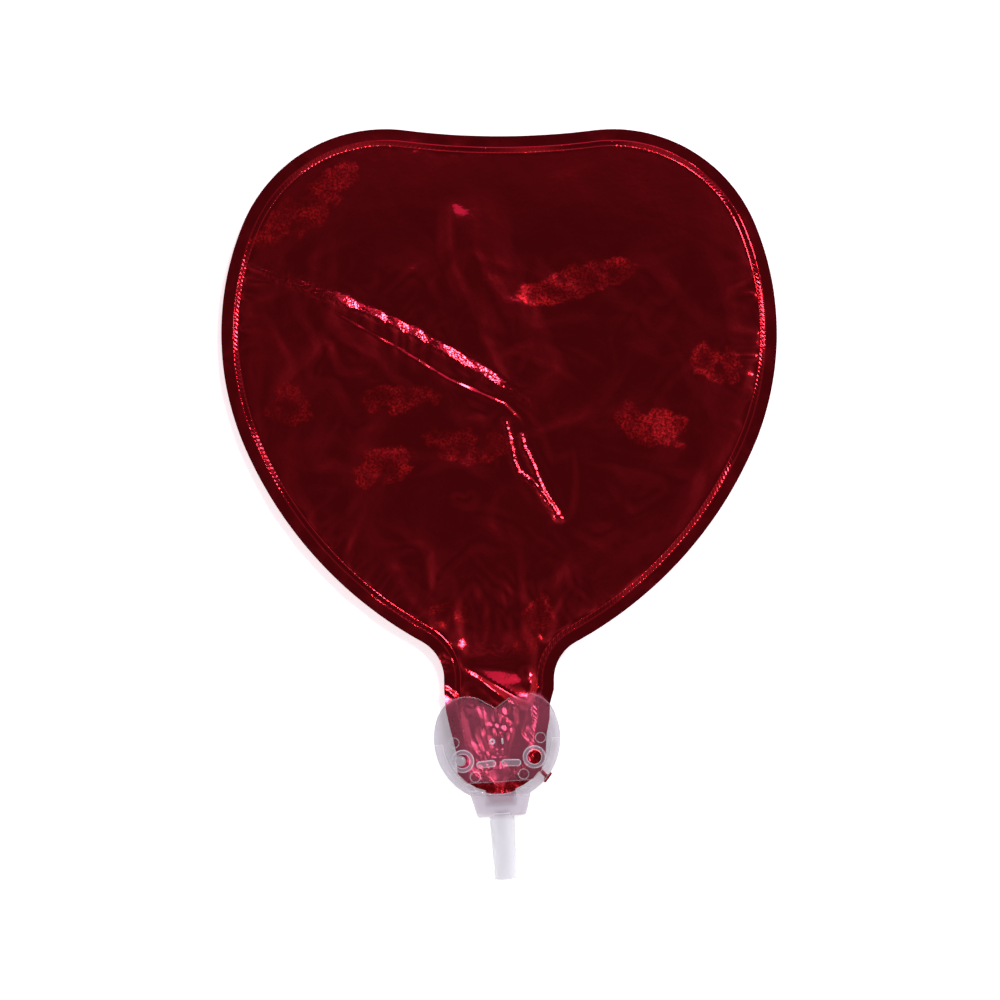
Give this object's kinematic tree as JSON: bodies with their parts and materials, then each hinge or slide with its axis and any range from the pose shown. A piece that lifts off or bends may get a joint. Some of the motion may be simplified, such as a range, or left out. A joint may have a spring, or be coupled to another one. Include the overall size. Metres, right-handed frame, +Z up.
{
  "type": "heart foil balloon with snap clip",
  "caption": "Deflated heart-shaped foil balloon lying flat, its neck pinched in a clear two-part snap clip with a hollow stem for a balloon stick.",
  "frame": {"origin": "middle of the bounding box, on the surface that the balloon lies on", "axes": "+Z up out of the foil's front, +Y along the balloon towards the top of the heart, +X to the right seen from the front"},
  "size_m": [0.2296, 0.3099, 0.0108],
  "materials": {
    "red_foil": "metallised polyester film, red lacquer over a mirror coat, creased",
    "valve_film": "thin cloudy polyethylene film",
    "clear_plastic": "moulded translucent polypropylene, glossy with a slight haze"
  },
  "bodies": {
    "clip": {"clip_back_half": "clear_plastic", "front_panel": "red_foil", "back_panel": "red_foil", "valve_front_film": "valve_film", "valve_back_film": "valve_film"},
    "cover": {"clip_front_half": "clear_plastic"}
  },
  "joints": [
    {"name": "cover_lift", "type": "slide", "parent": "clip", "child": "cover", "axis": [0, 0, 1], "range_m": [0, 0.03]}
  ]
}
